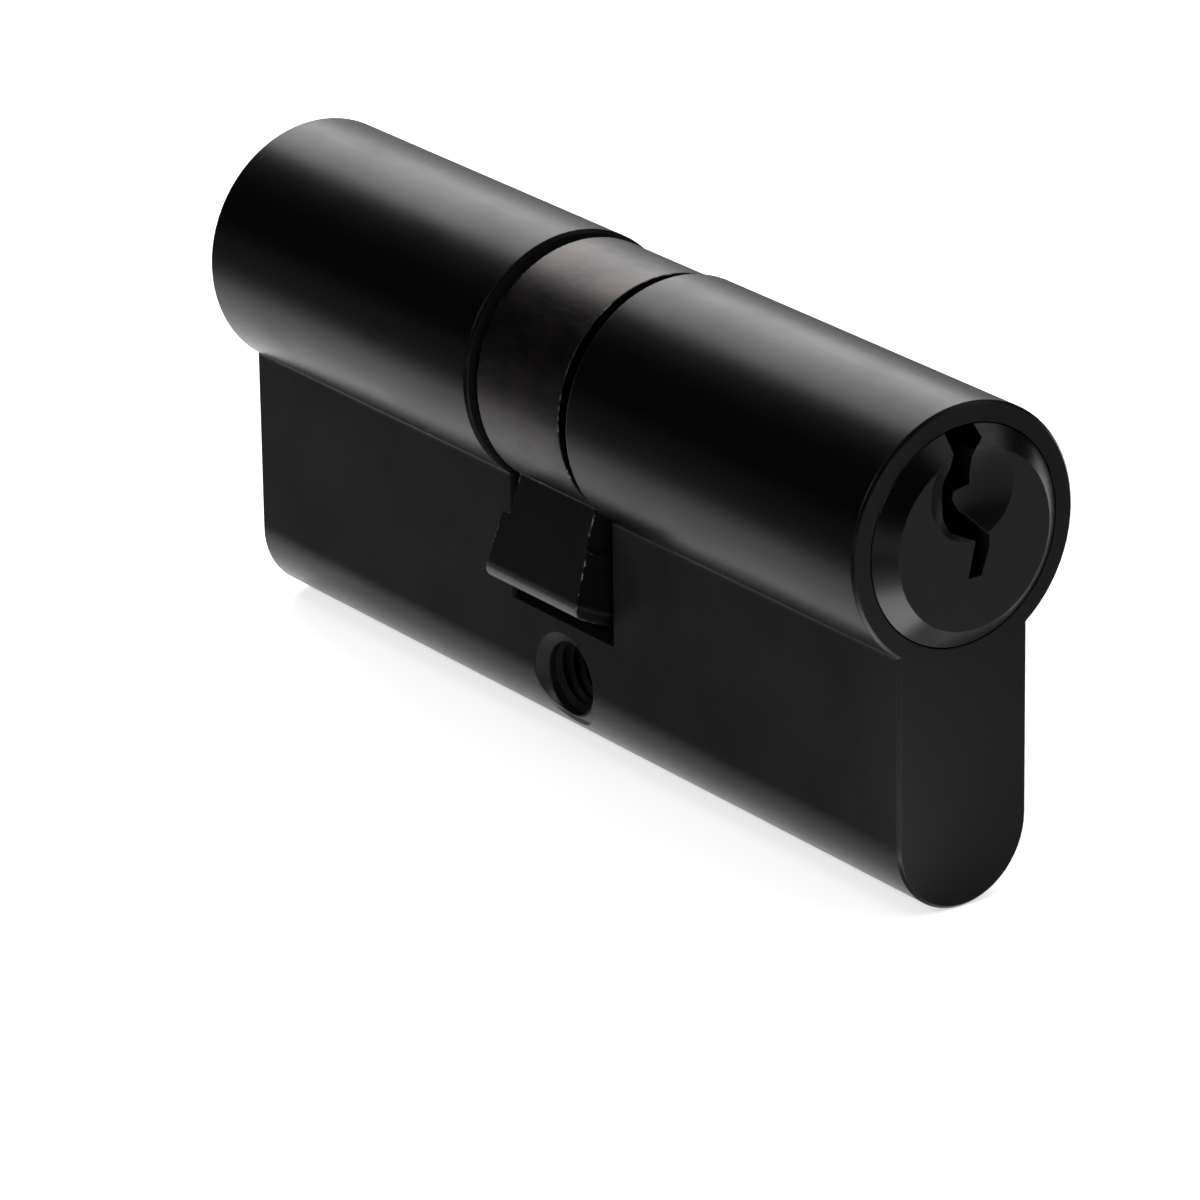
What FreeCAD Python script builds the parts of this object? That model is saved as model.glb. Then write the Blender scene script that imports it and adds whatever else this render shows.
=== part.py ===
import FreeCAD, Part
import math
import os

from FreeCAD import Vector

# Double euro profile cylinder, in millimetres.
# Origin: centre of the fixing-screw hole. +X runs along the barrel to the outer end and +Z is up, away
# from the tail that holds the pins.
# The inner half is the outer half turned half a turn about Z, so the same key fits both ends.

# Standard euro profile
BARREL_R = 8.5
TAIL_HALF_WIDTH = 5.0
AXIS_Z = 19.5                   # barrel axis above the fixing-screw hole
HALF_LENGTH = 35.0              # screw hole to either end face
EDGE = 0.2                      # broken edges of the housing

# Cut-out for the cam
GAP_HALF = 5.4
GAP_FLOOR_Z = 4.1

# Fixing-screw hole
SCREW_BORE_R = 2.45             # near the root of an M5 thread
SCREW_MOUTH_R = 3.25
SCREW_SINK = 0.65               # depth of the countersinks

# Plug and its bore
PLUG_R = 6.5
HEAD_R = 7.1
BORE_CLEARANCE = 0.03
HEAD_CLEARANCE = 0.08
HEAD_INSIDE = 2.4               # head length below the end face
HEAD_PROUD = 1.05               # head length beyond the end face, all of it chamfer
FACE_R = 5.8                    # flat front face inside the chamfer
DISH_R = 3.2                    # hollow milled around the top of the keyway
DISH_DEPTH = 0.95
DISH_UP = 3.25                  # dish centre above the plug axis
DISH_SIDE = -0.2
PLUG_END = 4.46                 # where the full-size plug ends, from mid-length
SPIGOT_R = 5.45                 # thinner end that carries the cam
SPIGOT_END = 1.35

# Keyway outline (y, z) from the plug axis, seen from the outer end, down the left wall and up the right wall
KEYWAY = [
    (-1.55, 7.5), (-1.5, 5.9), (-1.4, 4.9), (-2.0, 3.8), (-2.1, 1.6), (-1.7, 0.8), (-0.75, 0.3),
    (0.05, -0.05), (-0.5, -2.4), (0.55, -2.4), (1.15, -0.6), (1.15, 0.1), (0.3, 1.0), (-0.7, 1.9),
    (-1.1, 2.7), (-0.95, 3.1), (0.3, 3.3), (0.27, 5.3), (0.4, 6.05), (0.85, 6.3), (0.6, 7.5),
]

# Circlips
CLIP_OUTER_R = 7.8
CLIP_ROOT_R = 5.7
CLIP_THICKNESS = 0.56
CLIP_OPENING_DEG = 70.0
CLIP_SIDE_GAP = 0.03

# Cam
CAM_R = 8.25
CAM_HALF = 4.4
CAM_BORE_R = 5.5
CAM_WEB_HALF = 1.25
LOBE_TIP_R = 15.0
LOBE_HALF_THICKNESS = 3.15
LOBE_CORNER_R = 0.8
LOBE_LEAN_DEG = 18.5            # from straight down towards -Y
# (distance from the barrel axis, half width) of the lobe's two sides, stepped out beyond the circlips
LOBE_INNER_SIDE = [(0.0, 3.8), (10.2, 3.8), (10.5, 4.65), (16.0, 5.05)]
LOBE_OUTER_SIDE = [(0.0, 4.4), (10.2, 4.4), (10.5, 4.65), (16.0, 5.05)]

# Coupler and the pockets it slides in
COUPLER_HALF_WIDTH = 1.5
COUPLER_REACH = 5.0
COUPLER_HUB_R = 2.6
COUPLER_IN_CAM = 1.2            # how far an engaged coupler stands past mid-length
COUPLER_LENGTH = 4.2
COUPLER_TRAVEL = 2.6
COUPLER_CLEARANCE = 0.05
POCKET_END = 6.2

# Pin stacks
PIN_COUNT = 5
FIRST_PIN_X = 12.1
PIN_PITCH = 4.1
CHAMBER_R = 1.53
PIN_R = 1.48
PIN_CHAMFER = 0.35
TIP_R = 0.45
TIP_HEIGHT = 1.1
SHEAR_GAP_KEY = 0.08            # key pin above the shear line
SHEAR_GAP_DRIVER = 0.03         # driver pin below the shear line
CHAMBER_SHOULDER = -0.55        # where the plug's chambers start to taper, from the axis
KEY_PIN_LENGTHS = [4.35, 5.05, 4.1, 4.75, 4.2]
DRIVER_LENGTH = 5.6
CAP_R = 1.8
CAP_TOP_Z = -2.8
SPRING_MEAN_R = 1.15
SPRING_WIRE_R = 0.17
SPRING_PITCH = 1.05
SPRING_END_GAP = 0.05

X = Vector(1, 0, 0)
Y = Vector(0, 1, 0)
Z = Vector(0, 0, 1)
ORIGIN = Vector(0, 0, 0)


def rod(radius, start_x, end_x):
    """A cylinder about the barrel axis."""
    return Part.makeCylinder(radius, end_x - start_x, Vector(start_x, 0, AXIS_Z), X)


def post(radius, x, low_z, high_z):
    """An upright cylinder in the plane of the pins."""
    return Part.makeCylinder(radius, high_z - low_z, Vector(x, 0, low_z), Z)


def upright_cone(low_r, high_r, x, low_z, high_z):
    return Part.makeCone(low_r, high_r, high_z - low_z, Vector(x, 0, low_z), Z)


def block(low, high):
    return Part.makeBox(high[0] - low[0], high[1] - low[1], high[2] - low[2], Vector(*low))


def prism(points, start_x, end_x):
    """A straight-sided outline of (y, z) points from the barrel axis, extruded along X."""
    corners = [Vector(start_x, y, AXIS_Z + z) for y, z in points]
    outline = Part.makePolygon(corners + corners[:1])
    return Part.Face(outline).extrude(Vector(end_x - start_x, 0, 0))


def to_inner(shape):
    """The same piece for the inner half."""
    turned = shape.copy()
    turned.rotate(ORIGIN, Z, 180)
    return turned


def pin_places():
    return [FIRST_PIN_X + PIN_PITCH * i for i in range(PIN_COUNT)]


def edges_on_plane(shape, x):
    found = []
    for edge in shape.Edges:
        box = edge.BoundBox
        if abs(box.XMin - x) < 1e-6 and abs(box.XMax - x) < 1e-6:
            found.append(edge)
    return found


def tail_bar(low_x, high_x, top_z):
    """The flat tail, with its round end about the screw hole."""
    tail = block((low_x, -TAIL_HALF_WIDTH, 0), (high_x, TAIL_HALF_WIDTH, top_z))
    foot = Part.makeCylinder(TAIL_HALF_WIDTH, high_x - low_x, Vector(low_x, 0, 0), X)
    room = block((low_x, -TAIL_HALF_WIDTH, -TAIL_HALF_WIDTH), (high_x, TAIL_HALF_WIDTH, top_z))
    return tail.fuse(foot.common(room)).removeSplitter()


def profile_bar(low_x, high_x):
    """A length of the euro profile, round barrel and flat tail, with the outlines of both ends broken."""
    bars = []
    for bar in (rod(BARREL_R, low_x, high_x), tail_bar(low_x, high_x, AXIS_Z)):
        outlines = edges_on_plane(bar, low_x) + edges_on_plane(bar, high_x)
        bars.append(bar.makeChamfer(EDGE, outlines))
    return bars[0].fuse(bars[1])


def make_housing():
    half = profile_bar(GAP_HALF, HALF_LENGTH)
    web = tail_bar(-GAP_HALF - EDGE, GAP_HALF + EDGE, GAP_FLOOR_Z)
    body = half.fuse([to_inner(half), web]).removeSplitter()
    head_seat = HALF_LENGTH - HEAD_INSIDE - BORE_CLEARANCE
    bores = [
        rod(PLUG_R + BORE_CLEARANCE, GAP_HALF - 1, HALF_LENGTH),
        rod(HEAD_R + HEAD_CLEARANCE, head_seat, HALF_LENGTH + 1),
    ]
    for x in pin_places():
        bores.append(post(CHAMBER_R, x, CAP_TOP_Z, AXIS_Z - PLUG_R + 1))
        bores.append(post(CAP_R, x, -2 * TAIL_HALF_WIDTH, CAP_TOP_Z))
    body = body.cut(bores + [to_inner(bore) for bore in bores])
    hole = Part.makeCylinder(SCREW_BORE_R, 4 * TAIL_HALF_WIDTH, Vector(0, -2 * TAIL_HALF_WIDTH, 0), Y)
    front_sink = Part.makeCone(SCREW_MOUTH_R, SCREW_BORE_R, SCREW_SINK, Vector(0, -TAIL_HALF_WIDTH, 0), Y)
    back_sink = Part.makeCone(SCREW_MOUTH_R, SCREW_BORE_R, SCREW_SINK, Vector(0, TAIL_HALF_WIDTH, 0), -Y)
    return body.cut([hole, front_sink, back_sink])


def coupler_bar(half_width, reach, low_x, high_x):
    """The flat bar section that couplers have, and that pockets have with clearance."""
    return block((low_x, -half_width, AXIS_Z - reach), (high_x, half_width, AXIS_Z + reach))


def make_plug():
    head_start = HALF_LENGTH - HEAD_INSIDE
    body = rod(PLUG_R, PLUG_END, head_start)
    spigot = rod(SPIGOT_R, SPIGOT_END, PLUG_END)
    head = rod(HEAD_R, head_start, HALF_LENGTH)
    nose = Part.makeCone(HEAD_R, FACE_R, HEAD_PROUD, Vector(HALF_LENGTH, 0, AXIS_Z), X)
    plug = body.fuse([spigot, head, nose]).removeSplitter()
    clip_x = GAP_HALF - CLIP_SIDE_GAP
    groove = rod(PLUG_R + 1, clip_x - CLIP_THICKNESS - CLIP_SIDE_GAP, clip_x + CLIP_SIDE_GAP)
    groove = groove.cut(rod(CLIP_ROOT_R, 0, HALF_LENGTH))
    dish_sphere_r = (DISH_R ** 2 + DISH_DEPTH ** 2) / (2 * DISH_DEPTH)
    dish_x = HALF_LENGTH + HEAD_PROUD + dish_sphere_r - DISH_DEPTH
    dish = Part.makeSphere(dish_sphere_r, Vector(dish_x, DISH_SIDE, AXIS_Z + DISH_UP))
    keyway = prism(KEYWAY, SPIGOT_END - 1, HALF_LENGTH + 2)
    pocket_half = COUPLER_HALF_WIDTH + COUPLER_CLEARANCE
    pocket_reach = COUPLER_REACH + COUPLER_CLEARANCE
    pocket = coupler_bar(pocket_half, pocket_reach, SPIGOT_END - 1, POCKET_END)
    hub_room = rod(COUPLER_HUB_R + COUPLER_CLEARANCE, SPIGOT_END - 1, POCKET_END)
    cutters = [groove, dish, keyway, pocket, hub_room]
    for x in pin_places():
        shoulder_z = AXIS_Z + CHAMBER_SHOULDER
        cutters.append(post(CHAMBER_R, x, AXIS_Z - PLUG_R - 1, shoulder_z))
        cutters.append(upright_cone(CHAMBER_R, TIP_R, x, shoulder_z, shoulder_z + TIP_HEIGHT))
    return plug.cut(cutters)


def make_circlip():
    """An open ring in the plug's groove, its opening towards the tail."""
    end_x = GAP_HALF - CLIP_SIDE_GAP
    start_x = end_x - CLIP_THICKNESS
    ring = rod(CLIP_OUTER_R, start_x, end_x).cut(rod(CLIP_ROOT_R + CLIP_SIDE_GAP, start_x - 1, end_x + 1))
    reach = 2 * CLIP_OUTER_R
    half = math.radians(CLIP_OPENING_DEG / 2)
    side = reach * math.tan(half)
    opening = prism([(0, 0), (-side, -reach), (side, -reach)], start_x - 1, end_x + 1)
    return ring.cut(opening)


def make_lobe():
    """A bar hung from the barrel axis, rounded at its tip and stepped wider beyond the ring, then leaned."""
    flank = LOBE_HALF_THICKNESS
    reach = LOBE_OUTER_SIDE[-1][1]
    bar = block((-reach, -flank, AXIS_Z - LOBE_TIP_R), (reach, flank, AXIS_Z))
    bar = bar.common(rod(LOBE_TIP_R, -reach, reach))
    tip_edges = []
    for edge in bar.Edges:
        box = edge.BoundBox
        if box.XLength > reach and box.ZMax < AXIS_Z - CAM_R and abs(abs(box.YMax) - flank) < 1e-3:
            tip_edges.append(edge)
    bar = bar.makeFillet(LOBE_CORNER_R, tip_edges)
    inner = [Vector(-half, -flank, AXIS_Z - down) for down, half in LOBE_INNER_SIDE]
    outer = [Vector(half, -flank, AXIS_Z - down) for down, half in reversed(LOBE_OUTER_SIDE)]
    plan = Part.Face(Part.makePolygon(inner + outer + inner[:1]))
    lobe = bar.common(plan.extrude(Vector(0, 2 * flank, 0)))
    lobe.rotate(Vector(0, 0, AXIS_Z), X, -LOBE_LEAN_DEG)
    return lobe


def make_cam():
    ring = rod(CAM_R, -CAM_HALF, CAM_HALF)
    body = ring.fuse(make_lobe()).removeSplitter()
    notch_half = COUPLER_HALF_WIDTH + COUPLER_CLEARANCE
    notch_reach = COUPLER_REACH + COUPLER_CLEARANCE
    return body.cut([
        rod(CAM_BORE_R, CAM_WEB_HALF, CAM_HALF + 1),
        rod(CAM_BORE_R, -CAM_HALF - 1, -CAM_WEB_HALF),
        rod(COUPLER_HUB_R + COUPLER_CLEARANCE, -CAM_HALF, CAM_HALF),
        coupler_bar(notch_half, notch_reach, -CAM_HALF, CAM_HALF),
    ])


def make_coupler(shift_x):
    """A round hub with a flat bar across it; shift_x moves it out of the cam."""
    low_x = -COUPLER_IN_CAM + shift_x
    high_x = low_x + COUPLER_LENGTH
    bar = coupler_bar(COUPLER_HALF_WIDTH, COUPLER_REACH, low_x, high_x)
    rounded = bar.common(rod(COUPLER_REACH, low_x, high_x))
    hub = rod(COUPLER_HUB_R, low_x, high_x)
    return rounded.fuse(hub).removeSplitter()


def make_key_pin(x, length):
    """Flat and chamfered at the shear line, tapered where it rides on the key."""
    foot_z = AXIS_Z - PLUG_R + SHEAR_GAP_KEY
    top_z = foot_z + length
    foot = upright_cone(PIN_R - PIN_CHAMFER, PIN_R, x, foot_z, foot_z + PIN_CHAMFER)
    stem = post(PIN_R, x, foot_z + PIN_CHAMFER, top_z - TIP_HEIGHT)
    tip = upright_cone(PIN_R, TIP_R, x, top_z - TIP_HEIGHT, top_z)
    return stem.fuse([foot, tip]).removeSplitter()


def make_driver_pin(x):
    top_z = AXIS_Z - PLUG_R - SHEAR_GAP_DRIVER
    low_z = top_z - DRIVER_LENGTH
    foot = upright_cone(PIN_R - PIN_CHAMFER, PIN_R, x, low_z, low_z + PIN_CHAMFER)
    stem = post(PIN_R, x, low_z + PIN_CHAMFER, top_z - PIN_CHAMFER)
    head = upright_cone(PIN_R, PIN_R - PIN_CHAMFER, x, top_z - PIN_CHAMFER, top_z)
    return stem.fuse([foot, head]).removeSplitter()


def make_spring(x):
    low_z = CAP_TOP_Z + SPRING_END_GAP + SPRING_WIRE_R
    high_z = AXIS_Z - PLUG_R - SHEAR_GAP_DRIVER - DRIVER_LENGTH - SPRING_END_GAP - SPRING_WIRE_R
    path = Part.makeHelix(SPRING_PITCH, high_z - low_z, SPRING_MEAN_R)
    section = Part.Wire(Part.makeCircle(SPRING_WIRE_R, Vector(SPRING_MEAN_R, 0, 0), Y))
    coil = Part.Wire(path.Edges).makePipeShell([section], True, True)
    coil.translate(Vector(x, 0, low_z))
    return coil


def make_chamber_cap(x):
    """A short stopper whose outer end follows the round tail."""
    stopper = post(CAP_R, x, -2 * TAIL_HALF_WIDTH, CAP_TOP_Z)
    foot_round = Part.makeCylinder(TAIL_HALF_WIDTH, 4 * CAP_R, Vector(x - 2 * CAP_R, 0, 0), X)
    return stopper.common(foot_round)


def check_key_pins():
    """Prints how far each key pin can rise before it meets the end of its chamber."""
    shoulder = CHAMBER_SHOULDER
    for length in KEY_PIN_LENGTHS:
        rest = -PLUG_R + SHEAR_GAP_KEY + length - TIP_HEIGHT
        print("key pin", length, "mm long can rise", round(shoulder - rest, 3), "mm")


def save(name, shape):
    if not shape.isValid():
        raise RuntimeError(name + " is not a valid solid")
    solids = shape.Solids
    if len(solids) != 1:
        raise RuntimeError(name + " has " + str(len(solids)) + " solids")
    solids[0].exportStep("parts/" + name + ".step")


def main():
    os.makedirs("parts", exist_ok=True)
    save("housing", make_housing())
    save("cam", make_cam())
    plug = make_plug()
    circlip = make_circlip()
    save("outer_plug", plug)
    save("inner_plug", to_inner(plug))
    save("outer_circlip", circlip)
    save("inner_circlip", to_inner(circlip))
    save("outer_coupler", make_coupler(0))
    save("inner_coupler", to_inner(make_coupler(COUPLER_TRAVEL)))
    for number, x in enumerate(reversed(pin_places()), start=1):
        length = KEY_PIN_LENGTHS[number - 1]
        pieces = {
            "key_pin": make_key_pin(x, length),
            "driver_pin": make_driver_pin(x),
            "spring": make_spring(x),
            "chamber_cap": make_chamber_cap(x),
        }
        for kind, shape in pieces.items():
            save("outer_%s_%d" % (kind, number), shape)
            save("inner_%s_%d" % (kind, number), to_inner(shape))
    check_key_pins()


main()
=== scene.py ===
import math

import bmesh
import bpy
from mathutils import Matrix, Vector


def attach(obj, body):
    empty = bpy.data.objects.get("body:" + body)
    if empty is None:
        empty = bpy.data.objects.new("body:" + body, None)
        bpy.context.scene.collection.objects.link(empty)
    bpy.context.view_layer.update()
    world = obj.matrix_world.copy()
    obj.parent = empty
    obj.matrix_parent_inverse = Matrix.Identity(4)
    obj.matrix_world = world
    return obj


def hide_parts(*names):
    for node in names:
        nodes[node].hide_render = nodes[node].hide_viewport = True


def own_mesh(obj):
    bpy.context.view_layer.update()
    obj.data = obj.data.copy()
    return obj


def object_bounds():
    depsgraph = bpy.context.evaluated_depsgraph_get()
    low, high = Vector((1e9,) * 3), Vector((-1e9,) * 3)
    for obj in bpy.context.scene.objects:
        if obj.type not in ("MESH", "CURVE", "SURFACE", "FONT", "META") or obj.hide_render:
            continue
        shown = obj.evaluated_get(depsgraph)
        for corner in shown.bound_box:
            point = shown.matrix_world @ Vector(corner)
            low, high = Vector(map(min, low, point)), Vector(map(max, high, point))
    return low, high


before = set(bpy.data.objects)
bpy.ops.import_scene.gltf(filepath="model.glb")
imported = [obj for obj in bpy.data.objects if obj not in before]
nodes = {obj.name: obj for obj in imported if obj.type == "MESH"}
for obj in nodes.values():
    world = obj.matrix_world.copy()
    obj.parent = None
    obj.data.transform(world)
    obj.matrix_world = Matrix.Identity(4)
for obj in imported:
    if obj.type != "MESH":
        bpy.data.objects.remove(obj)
cad_low, cad_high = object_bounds()

MM = 0.001
AXIS_Z = 19.5 * MM              # barrel axis above the fixing-screw hole
BARREL_FOOT_Z = 12.6 * MM       # where the barrel meets the flat tail
FACE_R = 5.8 * MM               # flat face of the plug, inside its chamfer
RING_R = 8.25 * MM              # outside of the cam's ring
STEP_R = 10.35 * MM             # where the cam's lobe widens, from the barrel axis
LOBE_TIP_R = 15.0 * MM          # end of the lobe, from the barrel axis
SCREW_HOLE_R = 2.45 * MM
SCREW_MOUTH_R = 3.25 * MM       # the hole's countersink at the sides of the tail
TAIL_HALF_WIDTH = 5.0 * MM

# Camera: places in metres about the fixing-screw hole, lens in millimetres
CAMERA_PLACE = Vector((0.37604, -0.27188, 0.18825))
CAMERA_AIM = Vector((-0.00283, 0.0, 0.00349))
CAMERA_ROLL_DEG = -0.854
CAMERA_LENS = 231.9


# ---------------------------------------------------------------- camera

def make_camera():
    data = bpy.data.cameras.new("camera")
    data.lens = CAMERA_LENS
    data.sensor_width = 36.0
    data.clip_start = 0.01
    data.clip_end = 20.0
    camera = bpy.data.objects.new("camera", data)
    look = (CAMERA_AIM - CAMERA_PLACE).to_track_quat("-Z", "Y").to_matrix().to_4x4()
    roll = Matrix.Rotation(math.radians(CAMERA_ROLL_DEG), 4, "Z")
    camera.matrix_world = Matrix.Translation(CAMERA_PLACE) @ look @ roll
    bpy.context.scene.collection.objects.link(camera)
    bpy.context.scene.camera = camera


# ---------------------------------------------------------------- material tools

class Shader:
    """A material being wired: short calls for the few node types that every finish here uses."""

    def __init__(self, name, **sockets):
        self.material = bpy.data.materials.new(name)
        self.material.use_nodes = True
        self.tree = self.material.node_tree
        self.bsdf = self.tree.nodes["Principled BSDF"]
        for socket, value in sockets.items():
            self.bsdf.inputs[socket.replace("_", " ")].default_value = value
        texture_coords = self.tree.nodes.new("ShaderNodeTexCoord").outputs
        self.coords = texture_coords["Object"]
        self.object_normal = texture_coords["Normal"]

    def add(self, kind, **settings):
        node = self.tree.nodes.new(kind)
        for key, value in settings.items():
            setattr(node, key, value)
        return node

    def link(self, output, socket):
        self.tree.links.new(output, socket)

    def stretched(self, scale):
        """Object coordinates stretched per axis, so that noise turns into streaks."""
        mapping = self.add("ShaderNodeMapping")
        mapping.inputs["Scale"].default_value = scale
        self.link(self.coords, mapping.inputs["Vector"])
        return mapping.outputs["Vector"]

    def noise(self, scale, detail=3.0, roughness=0.55, vector=None):
        node = self.add("ShaderNodeTexNoise")
        node.inputs["Scale"].default_value = scale
        node.inputs["Detail"].default_value = detail
        node.inputs["Roughness"].default_value = roughness
        self.link(vector or self.coords, node.inputs["Vector"])
        return node.outputs["Fac"]

    def remap(self, value, low, high, to_low=0.0, to_high=1.0):
        node = self.add("ShaderNodeMapRange")
        node.inputs["From Min"].default_value = low
        node.inputs["From Max"].default_value = high
        node.inputs["To Min"].default_value = to_low
        node.inputs["To Max"].default_value = to_high
        self.link(value, node.inputs["Value"])
        return node.outputs["Result"]

    def math(self, operation, *values):
        """One operation; each value is a number or another node's output."""
        node = self.add("ShaderNodeMath", operation=operation)
        for socket, value in zip(node.inputs, values):
            if isinstance(value, (int, float)):
                socket.default_value = value
            else:
                self.link(value, socket)
        return node.outputs["Value"]

    def product(self, first, *others):
        for other in others:
            first = self.math("MULTIPLY", first, other)
        return first

    def outside(self, mask):
        """1 where the mask is 0, and 0 where it is 1."""
        return self.math("SUBTRACT", 1.0, mask)

    def gap(self, value, level):
        """How far a value is from a level, whichever way."""
        return self.math("ABSOLUTE", self.math("SUBTRACT", value, level))

    def length(self, first, second):
        squares = self.math("ADD", self.product(first, first), self.product(second, second))
        return self.math("SQRT", squares)

    def blend_value(self, amount, first, second):
        """A number between first, which is plain, and second, another node's value."""
        return self.math("ADD", self.product(amount, self.math("SUBTRACT", second, first)), first)

    def blend(self, amount, first, second):
        """A colour between first and second, each a tuple or another node's colour."""
        node = self.add("ShaderNodeMix", data_type="RGBA")
        self.link(amount, node.inputs["Factor"])
        colour_inputs = [s for s in node.inputs if s.type == "RGBA"]
        for socket, value in zip(colour_inputs, (first, second)):
            if isinstance(value, tuple):
                socket.default_value = (*value, 1.0)
            else:
                self.link(value, socket)
        return [s for s in node.outputs if s.type == "RGBA"][0]

    def split(self, vector):
        node = self.add("ShaderNodeSeparateXYZ")
        self.link(vector, node.inputs["Vector"])
        return node.outputs

    def facing_along(self, least):
        """1 on flat faces that look along the barrel, whichever way, and 0 elsewhere."""
        along = self.split(self.object_normal)["X"]
        return self.remap(self.math("ABSOLUTE", along), least, least + 0.02)

    def barrel_radius(self):
        """Distance from the barrel axis."""
        _, across, up = self.split(self.coords)
        return self.length(self.math("SUBTRACT", up, AXIS_Z), across)

    def rounded_normal(self, radius):
        node = self.add("ShaderNodeBevel", samples=4)
        node.inputs["Radius"].default_value = radius
        return node.outputs["Normal"]

    def edge_mask(self, rounded, softness=0.12):
        """1 on edges and 0 on faces, from how far the rounded normal leans from the true one."""
        geometry = self.add("ShaderNodeNewGeometry")
        dot = self.add("ShaderNodeVectorMath", operation="DOT_PRODUCT")
        self.link(rounded, dot.inputs[0])
        self.link(geometry.outputs["Normal"], dot.inputs[1])
        return self.remap(dot.outputs["Value"], 1.0, 1.0 - softness)

    def bump(self, heights, normal=None):
        """Stacked bumps; heights is a list of (value, height in metres)."""
        for value, distance in heights:
            node = self.add("ShaderNodeBump")
            node.inputs["Distance"].default_value = distance
            self.link(value, node.inputs["Height"])
            if normal is not None:
                self.link(normal, node.inputs["Normal"])
            normal = node.outputs["Normal"]
        self.link(normal, self.bsdf.inputs["Normal"])

    def colour(self, output):
        self.link(output, self.bsdf.inputs["Base Color"])

    def roughness(self, output):
        self.link(output, self.bsdf.inputs["Roughness"])

    def metallic(self, output):
        self.link(output, self.bsdf.inputs["Metallic"])


# ---------------------------------------------------------------- finishes

def satin_black():
    """Black coated brass: the drawn round surfaces take a satin sheen, and milled faces stay duller."""
    s = Shader("satin_black", IOR=1.08)
    drawn = s.noise(1.0, detail=4.0, vector=s.stretched((260.0, 9000.0, 9000.0)))
    grain = s.noise(14000.0, detail=2.0)
    cloud = s.noise(160.0, detail=4.0)
    rounded = s.rounded_normal(0.12 * MM)
    along, across, up = s.split(s.coords)

    end_face = s.facing_along(0.9)
    from_hole = s.length(along, up)
    in_hole = s.remap(from_hole, SCREW_MOUTH_R, SCREW_MOUTH_R - 0.1 * MM)
    on_cone = s.remap(from_hole, SCREW_HOLE_R, SCREW_HOLE_R + 0.05 * MM)
    from_side = s.math("SUBTRACT", TAIL_HALF_WIDTH, s.math("ABSOLUTE", across))
    mouth = s.product(in_hole, on_cone, s.remap(from_side, 0.75 * MM, 0.6 * MM))
    barrel = s.remap(up, BARREL_FOOT_Z - 0.2 * MM, BARREL_FOOT_Z)
    tail_round = s.remap(up, 0.3 * MM, -0.6 * MM)
    sheen = s.product(s.math("ADD", barrel, tail_round), s.outside(end_face), s.outside(in_hole))
    off_foot = s.remap(s.gap(up, BARREL_FOOT_Z), 0.2 * MM, 0.35 * MM)
    worn = s.product(s.edge_mask(rounded), off_foot, s.remap(grain, 0.4, 0.6))

    base = s.blend(sheen, (0.0078, 0.0078, 0.008), (0.011, 0.011, 0.0112))
    base = s.blend(s.remap(cloud, 0.4, 0.7, 0.0, 0.3), base, (0.0, 0.0, 0.0))
    # Painted light: the end faces take a lighter base, standing in for the light they catch.
    base = s.blend(end_face, base, (0.009, 0.009, 0.0092))
    base = s.blend(mouth, base, (0.022, 0.0215, 0.021))
    s.colour(s.blend(worn, base, (0.026, 0.025, 0.025)))
    s.metallic(s.math("MAXIMUM", sheen, mouth))
    rough = s.math("ADD", s.remap(drawn, 0.3, 0.7, 0.28, 0.33), s.remap(cloud, 0.3, 0.7, -0.02, 0.03))
    s.roughness(s.math("ADD", rough, s.remap(sheen, 0.0, 1.0, 0.1, 0.0)))
    s.bump([(drawn, 0.0012 * MM), (grain, 0.0025 * MM)], rounded)
    return s.material


def turned_black():
    """The plug: the same coating over turned brass, with faint rings and a brighter chamfer."""
    s = Shader("turned_black", IOR=1.18)
    radius = s.barrel_radius()
    ring_at = s.add("ShaderNodeCombineXYZ")
    s.link(radius, ring_at.inputs["X"])
    rings = s.noise(7000.0, detail=3.0, vector=ring_at.outputs["Vector"])
    grain = s.noise(12000.0, detail=2.0)
    cloud = s.noise(220.0, detail=4.0)
    rounded = s.rounded_normal(0.08 * MM)

    face = s.facing_along(0.97)
    chamfer = s.product(s.outside(face), s.remap(radius, FACE_R - 0.3 * MM, FACE_R - 0.1 * MM))
    worn = s.product(s.edge_mask(rounded), s.remap(grain, 0.4, 0.6))

    base = s.blend(s.remap(cloud, 0.35, 0.65), (0.0028, 0.0028, 0.003), (0.004, 0.004, 0.0041))
    base = s.blend(face, base, (0.0028, 0.0028, 0.0029))
    base = s.blend(chamfer, base, (0.014, 0.014, 0.0142))
    s.colour(s.blend(worn, base, (0.035, 0.033, 0.031)))
    s.metallic(chamfer)
    s.roughness(s.remap(rings, 0.3, 0.7, 0.27, 0.29))
    s.bump([(rings, 0.00005 * MM), (grain, 0.001 * MM)], rounded)
    return s.material


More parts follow.
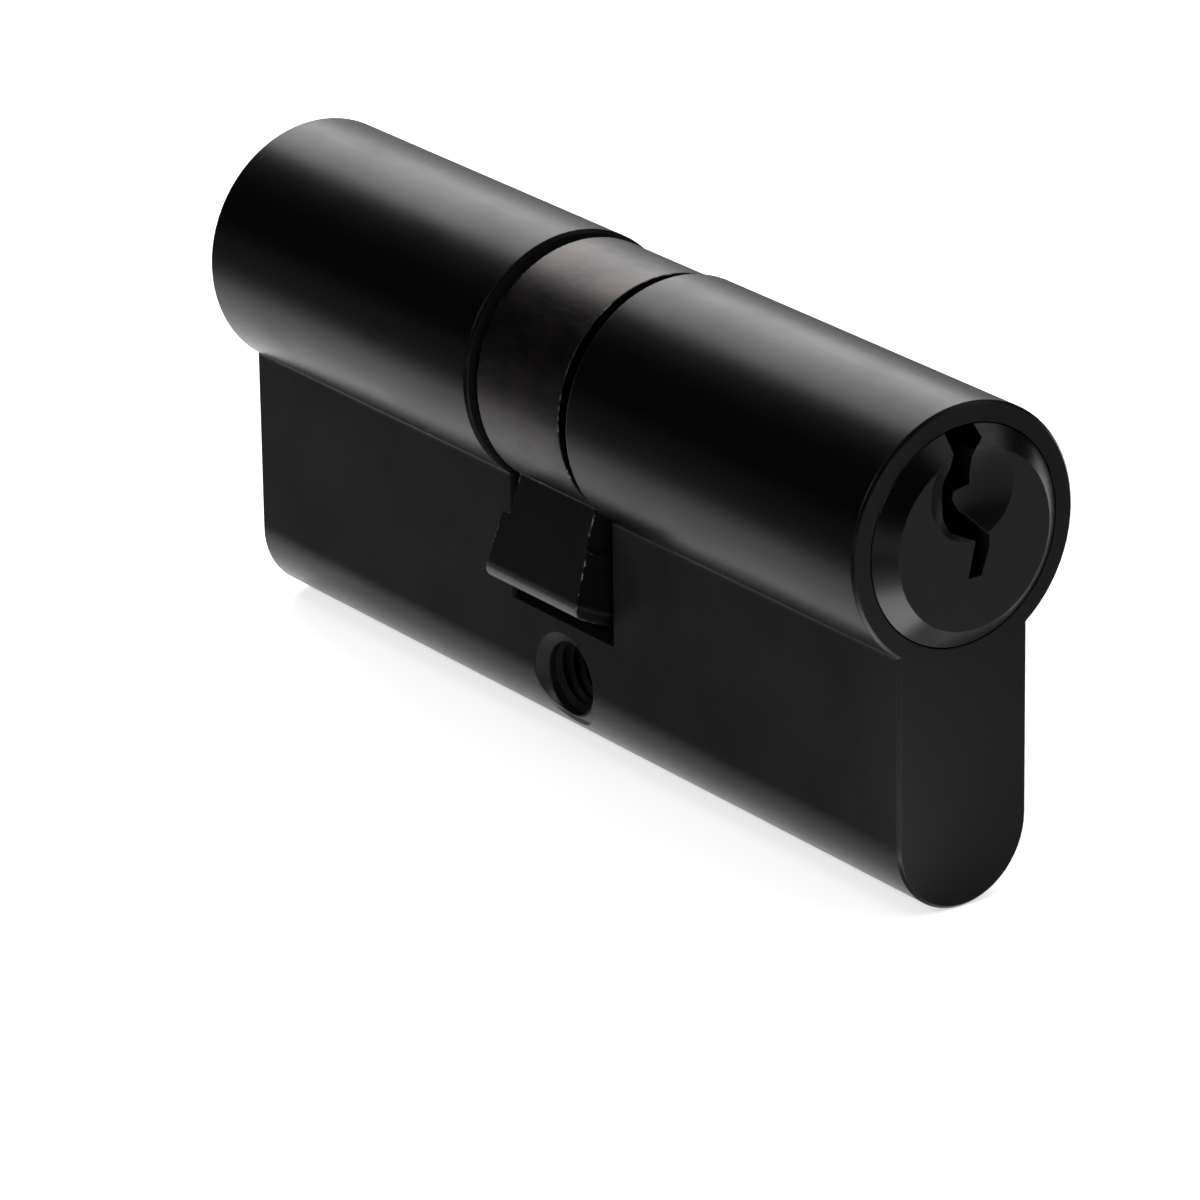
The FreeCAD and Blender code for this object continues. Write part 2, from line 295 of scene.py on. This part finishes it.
def sintered_steel():
    """The cam: dark sintered steel, ground on its ring and tip, rough on the lobe, its edges worn bright."""
    s = Shader("sintered_steel", IOR=1.15)
    brushed = s.noise(1.0, detail=5.0, roughness=0.65, vector=s.stretched((500.0, 7000.0, 7000.0)))
    pores = s.noise(9000.0, detail=3.0)
    cloud = s.noise(420.0, detail=5.0)
    rounded = s.rounded_normal(0.16 * MM)
    radius = s.barrel_radius()

    on_ring = s.remap(radius, RING_R + 0.1 * MM, RING_R + 0.05 * MM)
    on_tip = s.remap(radius, LOBE_TIP_R - 0.9 * MM, LOBE_TIP_R - 0.6 * MM)
    ground = s.math("ADD", on_ring, on_tip)
    off_step = s.remap(s.gap(radius, STEP_R), 0.35 * MM, 0.5 * MM)
    chips = s.remap(s.noise(2200.0, detail=4.0), 0.52, 0.6)
    worn = s.product(s.edge_mask(rounded, 0.08), off_step, chips)
    patches = s.remap(cloud, 0.35, 0.62)

    rough_part = s.blend(patches, (0.002, 0.002, 0.002), (0.0035, 0.003, 0.003))
    base = s.blend(patches, (0.015, 0.015, 0.0155), (0.032, 0.026, 0.0245))
    base = s.blend(s.product(s.remap(brushed, 0.5, 0.75), 0.5), base, (0.055, 0.045, 0.042))
    base = s.blend(s.product(on_tip, 0.6), base, (0.09, 0.085, 0.082))
    base = s.blend(ground, rough_part, base)
    s.colour(s.blend(worn, base, (0.24, 0.225, 0.215)))
    s.metallic(ground)
    s.roughness(s.blend_value(ground, 0.62, s.remap(brushed, 0.25, 0.75, 0.28, 0.42)))
    s.bump([(brushed, 0.003 * MM), (pores, 0.003 * MM)], rounded)
    return s.material


def bare_metal(name, light, dark, roughness, streak=(4000.0, 4000.0, 600.0)):
    """Turned, drawn or stamped metal with fine streaks and a little tarnish."""
    s = Shader(name, Metallic=1.0)
    streaks = s.noise(1.0, detail=4.0, vector=s.stretched(streak))
    tarnish = s.noise(900.0, detail=4.0)
    s.colour(s.blend(s.remap(tarnish, 0.35, 0.7), light, dark))
    s.roughness(s.remap(streaks, 0.3, 0.7, roughness - 0.06, roughness + 0.08))
    s.bump([(streaks, 0.002 * MM)])
    return s.material


def floor_paper():
    s = Shader("floor_paper", Roughness=0.9)
    fibre = s.noise(900.0, detail=4.0)
    s.colour(s.blend(s.remap(fibre, 0.3, 0.7), (0.9, 0.9, 0.9), (0.92, 0.92, 0.92)))
    s.bsdf.inputs["Emission Color"].default_value = (1.0, 1.0, 1.0, 1.0)
    s.bsdf.inputs["Emission Strength"].default_value = 0.6
    s.bump([(fibre, 0.003 * MM)])
    return s.material


def card_black():
    s = Shader("card_black", Roughness=0.9)
    fibre = s.noise(900.0, detail=4.0)
    s.colour(s.blend(s.remap(fibre, 0.3, 0.7), (0.08, 0.08, 0.08), (0.1, 0.1, 0.1)))
    return s.material


def give(material, name_parts):
    """The material goes on every CAD node whose name, without its number, ends in one of name_parts."""
    for name, node in nodes.items():
        plain = name.rstrip("0123456789").rstrip("_")
        if any(plain.endswith(part) for part in name_parts):
            node.data.materials.clear()
            node.data.materials.append(material)


def finish_cad_nodes():
    give(satin_black(), ["housing"])
    give(turned_black(), ["_plug"])
    give(sintered_steel(), ["cam"])
    give(bare_metal("blackened_spring_steel", (0.03, 0.03, 0.032), (0.015, 0.014, 0.014), 0.38), ["circlip"])
    give(bare_metal("plain_sintered_steel", (0.42, 0.41, 0.4), (0.3, 0.28, 0.26), 0.4), ["coupler"])
    give(bare_metal("turned_brass", (0.72, 0.5, 0.22), (0.5, 0.33, 0.14), 0.28), ["key_pin"])
    give(bare_metal("turned_steel", (0.55, 0.55, 0.54), (0.4, 0.38, 0.36), 0.26), ["driver_pin"])
    give(bare_metal("drawn_wire", (0.6, 0.6, 0.6), (0.42, 0.42, 0.42), 0.24), ["spring"])
    give(bare_metal("blackened_brass", (0.03, 0.028, 0.026), (0.016, 0.015, 0.014), 0.4), ["chamber_cap"])


# ---------------------------------------------------------------- springs as pieces of their own


def shortening_springs():
    """The springs as pieces of their own: copies of the CAD springs, attached to the housing, with the CAD
    springs hidden.
    """
    for side in ("outer", "inner"):
        for i in range(1, 6):
            node = nodes[f"{side}_spring_{i}"]
            coil = bpy.data.objects.new(f"{side}_spring_coil_{i}", node.data.copy())
            coil.matrix_world = node.matrix_world
            bpy.context.scene.collection.objects.link(coil)
            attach(coil, "housing")
            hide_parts(node.name)
            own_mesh(coil)


# ---------------------------------------------------------------- thread in the fixing-screw hole

THREAD_PITCH = 0.8 * MM
THREAD_DEPTH = 0.38 * MM
THREAD_LENGTH = 7.9 * MM
THREAD_STEPS = 64               # sections in each turn
THREAD_FADE = 1 / 16            # share of the length over which the ridge grows, at each end
THREAD_LEAST = 0.02             # share of its depth that the ridge starts with
# The ridge's section: along the hole in pitches, and inward in depths
THREAD_SECTION = ((-0.42, -0.04), (-0.06, 1.0), (0.06, 1.0), (0.42, -0.04))


def screw_thread():
    """A helical ridge inside the hole, faded out at both mouths."""
    turns = THREAD_LENGTH / THREAD_PITCH
    steps = int(turns * THREAD_STEPS)
    mesh = bmesh.new()
    sections = []
    for i in range(steps + 1):
        along = i / steps
        angle = 2 * math.pi * turns * along
        centre_y = (along - 0.5) * THREAD_LENGTH
        grown = min(1.0, along / THREAD_FADE, (1 - along) / THREAD_FADE)
        depth = THREAD_DEPTH * max(THREAD_LEAST, grown)
        points = []
        for offset, inward in THREAD_SECTION:
            radius = SCREW_HOLE_R - depth * inward
            y = centre_y + offset * THREAD_PITCH
            points.append(mesh.verts.new((radius * math.cos(angle), y, radius * math.sin(angle))))
        sections.append(points)
    for near, far in zip(sections, sections[1:]):
        for j in range(len(THREAD_SECTION)):
            k = (j + 1) % len(THREAD_SECTION)
            mesh.faces.new((near[j], far[j], far[k], near[k]))
    mesh.faces.new(sections[0])
    mesh.faces.new(list(reversed(sections[-1])))
    bmesh.ops.recalc_face_normals(mesh, faces=mesh.faces[:])
    data = bpy.data.meshes.new("screw_thread")
    mesh.to_mesh(data)
    mesh.free()
    thread = bpy.data.objects.new("screw_thread", data)
    bpy.context.scene.collection.objects.link(thread)
    data.materials.append(nodes["housing"].data.materials[0])
    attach(thread, "housing")


# ---------------------------------------------------------------- floor and light

FLOOR_HALF = 2.0                # metres
CARD_LIFT = 1.0 * MM            # the dark cards above the floor
WALL_TONE = 0.66
HORIZON_TONE = 0.02
OVERHEAD_TONE = 0.1


def grey(tone):
    return (tone, tone, tone, 1.0)


def make_floor():
    corners = [(-1, -1), (1, -1), (1, 1), (-1, 1)]
    data = bpy.data.meshes.new("floor")
    data.from_pydata([(x * FLOOR_HALF, y * FLOOR_HALF, cad_low.z) for x, y in corners], [], [(0, 1, 2, 3)])
    data.materials.append(floor_paper())
    floor = bpy.data.objects.new("floor", data)
    bpy.context.scene.collection.objects.link(floor)


def softbox(name, place, aim, width, depth, watts, seen=True):
    data = bpy.data.lights.new(name, "AREA")
    data.shape = "RECTANGLE"
    data.size = width
    data.size_y = depth
    data.energy = watts
    light = bpy.data.objects.new(name, data)
    light.visible_camera = seen
    turn = (Vector(aim) - Vector(place)).to_track_quat("-Z", "Y").to_matrix().to_4x4()
    light.matrix_world = Matrix.Translation(place) @ turn
    bpy.context.scene.collection.objects.link(light)


def make_world():
    """A dim studio, dark at the horizon and lighter overhead. The camera itself sees a pale wall."""
    world = bpy.data.worlds.new("studio")
    bpy.context.scene.world = world
    world.use_nodes = True
    tree = world.node_tree
    background = tree.nodes["Background"]
    coords = tree.nodes.new("ShaderNodeTexCoord")
    split = tree.nodes.new("ShaderNodeSeparateXYZ")
    ramp = tree.nodes.new("ShaderNodeValToRGB")
    tree.links.new(coords.outputs["Generated"], split.inputs["Vector"])
    tree.links.new(split.outputs["Z"], ramp.inputs["Fac"])
    tree.links.new(ramp.outputs["Color"], background.inputs["Color"])
    wall = tree.nodes.new("ShaderNodeBackground")
    wall.inputs["Color"].default_value = grey(WALL_TONE)
    ray = tree.nodes.new("ShaderNodeLightPath")
    mix = tree.nodes.new("ShaderNodeMixShader")
    tree.links.new(ray.outputs["Is Camera Ray"], mix.inputs["Fac"])
    tree.links.new(background.outputs["Background"], mix.inputs[1])
    tree.links.new(wall.outputs["Background"], mix.inputs[2])
    tree.links.new(mix.outputs["Shader"], tree.nodes["World Output"].inputs["Surface"])
    ramp.color_ramp.elements[0].position = 0.25
    ramp.color_ramp.elements[0].color = grey(HORIZON_TONE)
    ramp.color_ramp.elements[1].position = 0.9
    ramp.color_ramp.elements[1].color = grey(OVERHEAD_TONE)


def dark_card(name, low, high):
    """A dark card just above the floor beside the part, met only by reflections."""
    corners = [(low[0], low[1]), (high[0], low[1]), (high[0], high[1]), (low[0], high[1])]
    data = bpy.data.meshes.new(name)
    data.from_pydata([(x, y, cad_low.z + CARD_LIFT) for x, y in corners], [], [(0, 1, 2, 3)])
    data.materials.append(card_black())
    card = bpy.data.objects.new(name, data)
    card.visible_camera = False
    card.visible_diffuse = False
    card.visible_shadow = False
    bpy.context.scene.collection.objects.link(card)


def make_light():
    softbox("back_left", (-0.45, 0.241, 0.405), (0.0, 0.0, 0.02), 0.46, 0.466, 2.9)
    softbox("backdrop", (-0.57, 0.41, 0.1), (0.0, 0.0, 0.02), 1.2, 0.22, 0.35)
    softbox("overhead", (0.1, -0.35, 1.1), (0.0, 0.0, 0.0), 0.8, 0.8, 3.0)
    softbox("end_light", (0.8, 0.63, 1.0), (0.03, 0.0, 0.02), 1.2, 0.35, 3.3)
    softbox("right_light", (0.42, 0.8, 0.5), (0.03, 0.0, 0.02), 0.3, 0.3, 0.8)
    softbox("front_fill", (0.2, -1.2, 0.8), (0.0, 0.0, 0.02), 0.5, 0.5, 8.0)
    softbox("bounce_card", (0.046, -0.013, -0.0045), (0.046, -0.013, 1.0), 0.016, 0.018, 0.009, seen=False)
    dark_card("front_card", (-0.6, -0.5), (0.1, -0.036))
    dark_card("back_card", (-1.6, 0.038), (-0.045, 1.6))
    dark_card("side_card", (0.037, 0.038), (0.06, 0.5))
    make_world()
    bpy.context.scene.view_settings.view_transform = "Standard"


make_camera()
finish_cad_nodes()
shortening_springs()
screw_thread()
make_floor()
make_light()
